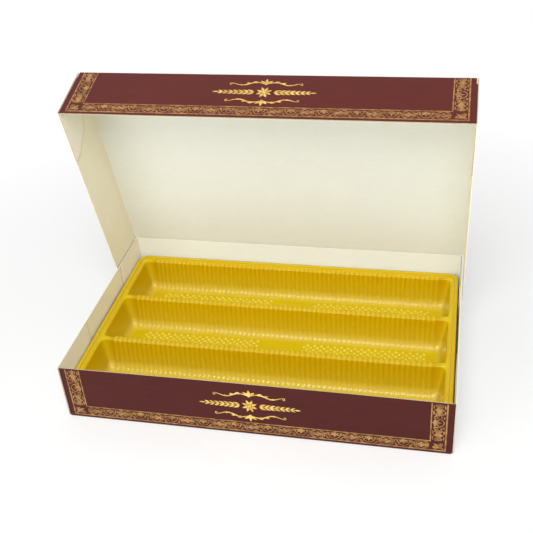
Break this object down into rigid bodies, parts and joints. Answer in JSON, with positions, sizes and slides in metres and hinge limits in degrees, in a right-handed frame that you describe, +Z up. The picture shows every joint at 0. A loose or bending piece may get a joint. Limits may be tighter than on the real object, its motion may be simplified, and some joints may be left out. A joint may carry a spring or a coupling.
{
  "type": "sweet box",
  "caption": "Folding board sweet box with a full-depth hinged lid, pasted corner tabs, a printed filigree border and a loose golden fluted tray of long compartments.",
  "frame": {"origin": "on the underside of the base panel, under the middle of the closed box", "axes": "+X along the length to the right, -Y towards the front wall, +Z up"},
  "size_m": [0.305, 0.1889, 0.2338],
  "materials": {
    "printed_board": "maroon print under a satin laminate, gold border",
    "side_board": "uncoated grey back of duplex board",
    "plain_board": "uncoated cream board",
    "paste": "dried carton paste",
    "tray_plastic": "clear golden formed sheet, glossy"
  },
  "bodies": {
    "base": {"base_panel": "plain_board", "base_front_wall": "printed_board", "base_back_wall": "printed_board", "base_left_wall": "side_board", "base_right_wall": "side_board", "base_front_left_tab": "plain_board", "base_front_right_tab": "plain_board", "base_back_left_tab": "plain_board", "base_back_right_tab": "plain_board", "base_corner_paste": "paste"},
    "lid": {"lid_top_panel": "printed_board", "lid_front_wall": "printed_board", "lid_left_wall": "side_board", "lid_right_wall": "side_board", "lid_front_left_tab": "plain_board", "lid_front_right_tab": "plain_board", "lid_corner_paste": "paste"},
    "tray": {"sweets_tray": "tray_plastic"}
  },
  "joints": [
    {"name": "lid_hinge", "type": "hinge", "parent": "base", "child": "lid", "pos_m": [0, 0.0947, 0.0507], "axis": [-1, 0, 0], "range_deg": [-75, 105]},
    {"name": "tray_lift", "type": "slide", "parent": "base", "child": "tray", "axis": [0, 0, 1], "range_m": [0, 0.017]}
  ]
}
